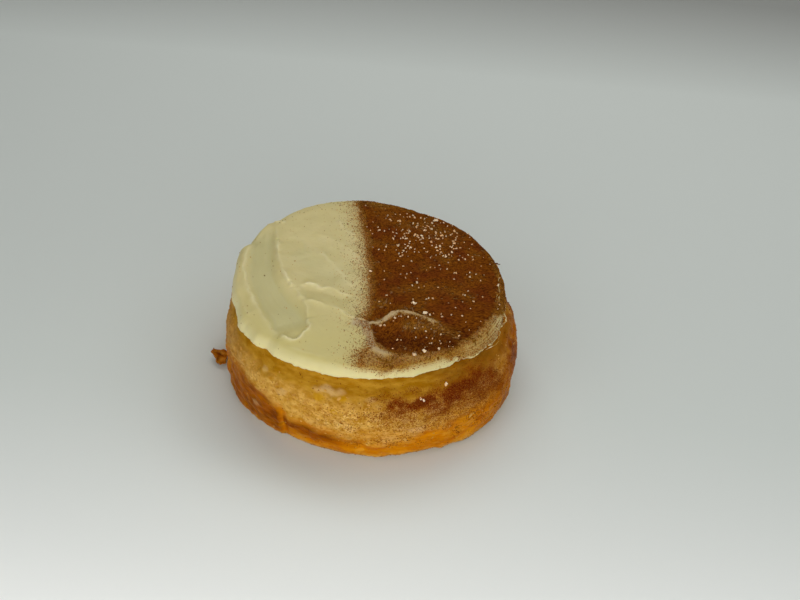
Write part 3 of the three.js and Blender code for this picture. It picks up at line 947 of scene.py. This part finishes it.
curl_thickness = 0.17
curl_paths = [
    [resting(42.6, 12), resting(43.0, 8.3), resting(43.2, 4.5), resting(43.4, -2.3), resting(43.4, -6),
     (43.6, -9.3, 35.0)],
    [(43.6, -7.5, 35.1), (44.4, -9.4, 34.4), (45.9, -11.1, 33.1), (45.9, -12.4, 32.5), (44.4, -15.3, 32.8),
     (43.6, -17.8, 33.2)],
    [(43.9, -17.5, 33.0), (43.9, -19.0, 32.2), (43.7, -20.9, 31.0), (42.7, -22.4, 30.6), (40.4, -24.6, 30.7),
     (39.4, -25.6, 30.6)],
    [resting(41.6, -14.2), resting(42.6, -16), (43.3, -18.5, 33.6)],
    [resting(41.9, 2), resting(42.4, -3), resting(42.2, -8)],
]
curls = [thread("rim_curl", path, curl_thickness, 80 + 3 * k) for k, path in enumerate(curl_paths)]
bpy.ops.object.select_all(action="DESELECT")
for piece in curls:
    piece.select_set(True)
bpy.context.view_layer.objects.active = curls[0]
bpy.ops.object.join()
curl = curls[0]
curl.name = "rim_curls"
x, y = points_of(curl)[:, 0], points_of(curl)[:, 1]
# Painted highlight: the threads are lightened toward pale cream in patches along them.
mark(curl, "crest", 0.25 + 0.8 * grain(y / 1.5 + 90, y * 0, 96))
mark(curl, "dusted", 0.42 + 0.5 * grain(x / 1.2 + 50, y / 1.2 + 90, 95))
curl.data.materials.append(cream)
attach(curl, "root")

# One fibre of cinnamon bark lies on the rim at the back right; it gets its finish with the loose grains.
fibre = thread("bark_fibre", [(40.8, 13.7, 36.2), (42.2, 13.4, 36.7), (43.6, 13.0, 36.6)], 0.2, 97)

# ================================================================ the cinnamon
# Ground cinnamon sieved over the right half past a straight edge: a thin matt layer, patchy where it is
# thin, with loose grains where it fades out. The knife crests under it stayed bare.

powder_thickness = 0.16
powder = bpy.data.objects.new("ground_cinnamon", frosting.data.copy())
powder.data.materials.clear()
bpy.context.collection.objects.link(powder)
bpy.ops.object.select_all(action="DESELECT")
powder.select_set(True)
bpy.context.view_layer.objects.active = powder

co = points_of(powder)
amount = dusting(co)
draws = np.random.default_rng(31)
clumps = 0.25 * spread(co[:, 0], co[:, 1], 0.9, 99, 32)
kept = amount + clumps + draws.uniform(-0.28, 0.28, len(co)) > 0.52
kept &= (normals_of(powder)[:, 2] > 0.1) & (co[:, 2] > 32.5)
bpy.ops.object.mode_set(mode="EDIT")
bpy.ops.mesh.select_mode(type="VERT")
bpy.ops.mesh.select_all(action="DESELECT")
bpy.ops.object.mode_set(mode="OBJECT")
powder.data.vertices.foreach_set("select", ~kept)
bpy.ops.object.mode_set(mode="EDIT")
bpy.ops.mesh.delete(type="VERT")
bpy.ops.mesh.select_all(action="SELECT")
bpy.ops.mesh.delete_loose(use_verts=True, use_edges=True, use_faces=False)
bpy.ops.object.mode_set(mode="OBJECT")
co = points_of(powder)
normal = normals_of(powder)
draws = np.random.default_rng(33)
tone = 0.5 + 0.2 * spread(co[:, 0], co[:, 1], 0.6, 99, 34) + draws.uniform(-0.5, 0.5, len(co))
in_scoop, _ = beside(co[:, 0], co[:, 1], [(5, -33), (12, -32.5), (22, -31), (31, -25)])
tone = tone - 0.34 * hump(in_scoop, 4.8)
amount = dusting(co)
co += normal * (0.12 + 0.1 * amount + draws.uniform(-0.06, 0.08, len(co)))[:, None]
move_points(powder, co)
mark(powder, "tone", tone)
mark(powder, "thick", (amount - 0.45) / 0.5)
thickness = powder.modifiers.new("thickness", "SOLIDIFY")
thickness.thickness = powder_thickness * MM
thickness.offset = -1
apply_all(powder)
bpy.ops.object.shade_smooth()

ground, tree, shader = paint_box("ground_cinnamon")
colour = blend_colours(tree, stored(tree, "tone"), (70, 26, 0), (146, 82, 14))
red = blend_colours(tree, stored(tree, "tone"), (68, 24, 2), (132, 64, 16))
colour = blend_colours(tree, speckle(tree, 7, low=0.45, high=0.65), colour, red)
lean = blend_colours(tree, stored(tree, "tone"), (100, 56, 4), (176, 126, 44))
colour = blend_colours(tree, stored(tree, "thick"), lean, colour)
finish(tree, shader, colour, 1.0, 0.05)
powder.data.materials.append(ground)

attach(powder, "root")
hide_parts("cinnamon_dusting")

# Loose grains: one small lump is modelled, and copies of it are turned, sized and set on the surface.
grain_count = 19000
wall_grain_count = 9000
cinnamon_lump = one_lump(bpy.ops.mesh.primitive_cone_add, (1.0, 0.8, 0.6), vertices=3, radius1=1.3 * MM,
                         radius2=0.8 * MM, depth=1.4 * MM)
co = points_of(frosting)
x, y = co[:, 0], co[:, 1]
up = (normals_of(frosting)[:, 2] > 0.05 - 0.3 * (x > 30)) & (co[:, 2] > 32 - 1.5 * (x > 30))
out = np.hypot(x - frosting_x, y - frosting_y)
amount = dusting(co)
edge_gap = x - stencil(y)
fringe = 1.6 * np.exp(-np.maximum(-edge_gap, 0) / 1.9) * smooth(1.5, 0.0, edge_gap)
fringe = fringe + 0.035 * hump(edge_gap + 5, 5.0)
fringe = fringe * (1 - 0.6 * beside_ridge(y))
thinly = np.where((amount > 0.05) & (amount < 0.75), 0.25 + 0.9 * amount, 0) * (1 - 0.8 * bare_crests(x, y))
on_band = 0.8 * smooth(22, 30, x) * (y < 12) * (out > 41)
stray = 0.003 + 0.02 * hump(x + 10, 10) * hump(y - 38, 9)
chance = up * (fringe * smooth(45.6, 44.4, out) + thinly + on_band + stray)
places, _ = pick_places(frosting, chance, grain_count, 41, 0.03)
sizes = np.random.default_rng(42).gamma(6.0, 0.017, len(places)) + 0.025
loose = sprinkle("cinnamon_grains", cinnamon_lump, places, sizes, 43)

grit = two_tone("cinnamon_grit", (100, 50, 6), (204, 136, 54), 0.95, 0.1)
loose.data.materials.append(grit)
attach(loose, "root")
fibre.data.materials.append(grit)
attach(fibre, "root")

# Grains that fell past the frosting cling to the wall, thickest along the shoulder.
co, a, degrees, z, out = round_the_roll()
amount = cinnamon_on_wall(degrees, z, a)
spotty = smooth(250, 268, degrees) * smooth(340, 322, degrees) * smooth(4, 9, z) * smooth(24.5, 21, z)
spotty = spotty * np.clip(0.3 + 0.9 * around_wall(a, 70, z / 2.2, 44), 0, 1) * (1 + 0.3 * smooth(17, 8, z))
chance = (z > 0.8) * (z < 28.5) * (0.8 * amount ** 1.5 + 0.36 * spotty + 0.007)
chance = chance + 0.05 * hump(z - 1.0, 0.5) * (out > 46)
places, _ = pick_places(roll, chance, wall_grain_count, 45, 0.02, roll_order)
sizes = np.random.default_rng(46).gamma(7.0, 0.016, len(places)) + 0.03


def wall_places(wanted):
    """The wall's own points nearest to a few places, each an angle and a height."""
    return [co[np.argmax(hump(degrees - angle, 2) * hump(z - height, 1))] for angle, height in wanted]


dark_specks = [(243, 26.9), (251, 26.5), (258.8, 28.2), (250.5, 24.7), (260.7, 27.0), (243.6, 26.7)]
places = np.vstack([places] + wall_places(dark_specks))
sizes = np.append(sizes, [0.27] * len(dark_specks))
clinging = sprinkle("cinnamon_on_wall", cinnamon_lump, places, sizes, 47)
clinging.data.materials.append(two_tone("cinnamon_specks", (104, 42, 0), (164, 88, 16), 0.95, 0.1))
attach(clinging, "root")

# ================================================================ the sugar
# Granulated sugar thrown over the cinnamon: small clear-white crystals with flat faces, closest together
# at the back right, with a few caught on the shoulder of the wall.

crystal_count = 280
big_crystal_count = 14
crystal = one_lump(bpy.ops.mesh.primitive_cube_add, (1.05, 0.65, 0.5), size=1 * MM)
co = points_of(powder)
x, y = co[:, 0], co[:, 1]
up = normals_of(powder)[:, 2] > 0.3
dense = hump(x - 19, 13) * hump(y - 25, 12) + 0.6 * hump(x - 27, 5) * hump(y + 32, 4)
chance = up * (dense + 0.12) * smooth(0.5, 0.8, dusting(co))
places, _ = pick_places(powder, chance, crystal_count, 51, 0.1)
sizes = np.clip(0.24 + np.random.default_rng(52).gamma(2.2, 0.1, len(places)), 0.24, 0.7)
big, _ = pick_places(powder, up * (dense + 0.25), big_crystal_count, 53, 0.1)
places = np.vstack([places, big])
sizes = np.concatenate([sizes, np.random.default_rng(54).uniform(0.75, 1.0, len(big))])
for spot_x, spot_y in ((19.1, -17.8), (16.6, -37.5), (19.6, -35.2), (15.3, -13.9), (20.8, 35.4)):
    nearest = np.argmin(np.hypot(x - spot_x, y - spot_y))
    places = np.vstack([places, co[nearest] + [0, 0, 0.25], co[nearest] + [0.5, 0.2, 0.15]])
    sizes = np.concatenate([sizes, [1.1, 0.7]])
co, a, degrees, z, out = round_the_roll()
on_shoulder = [(292.7, 23.6), (293.4, 22.9), (304.4, 26.1), (303.8, 25.6)]
places = np.vstack([places] + wall_places(on_shoulder))
sizes = np.append(sizes, [0.85] * len(on_shoulder))
sugar = sprinkle("sugar_crystals", crystal, places, sizes, 56)

sugar.data.materials.append(two_tone("sugar", (255, 206, 142), (255, 238, 202), 0.3, 0.5))
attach(sugar, "root")

# ================================================================ floor, light and camera
# A plain pale table under soft studio light from above and in front, seen from a raised seat.

table = start_piece("table", bpy.ops.mesh.primitive_plane_add, size=6, location=(0, 0, 0))
plain, tree, shader = paint_box("table")
# Painted light and shade: the table is lighter toward the front and darker far behind, standing in for how
# the studio light falls off.
colour = blend_colours(tree, along_y(tree, -20, -120), (220, 226, 220), (230, 232, 228))
colour = blend_colours(tree, along_y(tree, 205, 300), colour, (168, 170, 165))
finish(tree, shader, colour, 0.7, 0.1)
table.data.materials.append(plain)

sky = bpy.data.worlds.new("studio")
bpy.context.scene.world = sky
sky.use_nodes = True
backdrop = sky.node_tree.nodes["Background"]
backdrop.inputs["Color"].default_value = (1.0, 1.0, 1.0, 1)
backdrop.inputs["Strength"].default_value = 0.02


def soft_light(name, place, aim, wide, deep, power):
    light = bpy.data.lights.new(name, "AREA")
    light.shape = "RECTANGLE"
    light.size = wide
    light.size_y = deep
    light.energy = power
    lamp = bpy.data.objects.new(name, light)
    bpy.context.collection.objects.link(lamp)
    lamp.location = place
    lamp.rotation_euler = (Vector(aim) - Vector(place)).to_track_quat("-Z", "Y").to_euler()


soft_light("over_the_back", (0, 0.25, 0.45), (0, 0.05, 0), 0.5, 0.2, 0.85)
soft_light("high_at_the_back", (0, 0.5, 0.6), (0, 0, 0), 0.8, 0.3, 0.48)
soft_light("back_right", (0.35, 0.15, 0.45), (0, 0, 0), 0.3, 0.3, 0.43)
soft_light("right_side", (0.6, 0, 0.35), (0, 0, 0), 0.5, 0.5, 0.32)
soft_light("left_side", (-0.6, 0, 0.35), (0, 0, 0), 0.5, 0.5, 0.27)
soft_light("front_left", (-0.35, -0.3, 0.5), (0, 0, 0), 0.4, 0.4, 0.32)
soft_light("front_card", (0, -0.45, 0.2), (0, -0.05, 0), 0.9, 0.3, 0.32)
soft_light("low_front_strip", (0, -0.22, 0.09), (0, -0.13, 0), 0.6, 0.06, 0.44)

view_down = math.radians(38.3)
view_roll = math.radians(5.1)
view_distance = 0.518
aim = Vector((0.01067, 0.0124, 0.018))
forward = Vector((0, math.cos(view_down), -math.sin(view_down)))
level = Vector((1, 0, 0))
upright = level.cross(forward)
right = math.cos(view_roll) * level + math.sin(view_roll) * upright
up = math.cos(view_roll) * upright - math.sin(view_roll) * level
camera_data = bpy.data.cameras.new("camera")
camera_data.lens_unit = "FOV"
camera_data.angle = math.radians(30)
camera = bpy.data.objects.new("camera", camera_data)
bpy.context.collection.objects.link(camera)
camera.matrix_world = Matrix.Translation(aim - forward * view_distance) @ Matrix(
    (right, up, -forward)).transposed().to_4x4()
bpy.context.scene.camera = camera
bpy.context.scene.view_settings.view_transform = "Standard"
